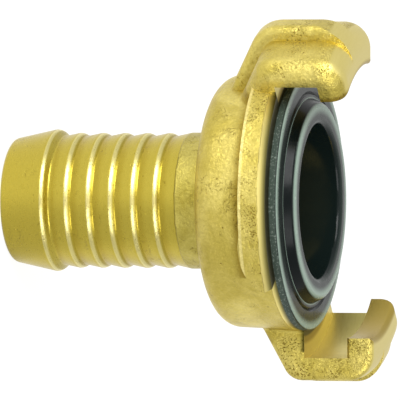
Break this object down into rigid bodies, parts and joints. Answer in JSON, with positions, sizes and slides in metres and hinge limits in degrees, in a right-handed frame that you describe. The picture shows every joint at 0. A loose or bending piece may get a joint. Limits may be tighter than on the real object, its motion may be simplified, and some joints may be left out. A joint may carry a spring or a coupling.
{
  "type": "quarter turn hose coupling",
  "caption": "Brass claw hose coupling half with a barbed hose tail and a black rubber sealing ring; locks to its like by a quarter turn.",
  "frame": {"origin": "centre of the hose tail's end face, on the waterway axis", "axes": "+Z along the waterway from the hose tail to the claws; the claws are centred on +X and -X"},
  "size_m": [0.0562, 0.0438, 0.054],
  "materials": {
    "brass": "as forged on the head, turned on the tail and faces",
    "rubber": "moulded, semi-gloss"
  },
  "bodies": {
    "root": {"coupling_body": "brass", "sealing_ring": "rubber"}
  },
  "joints": []
}
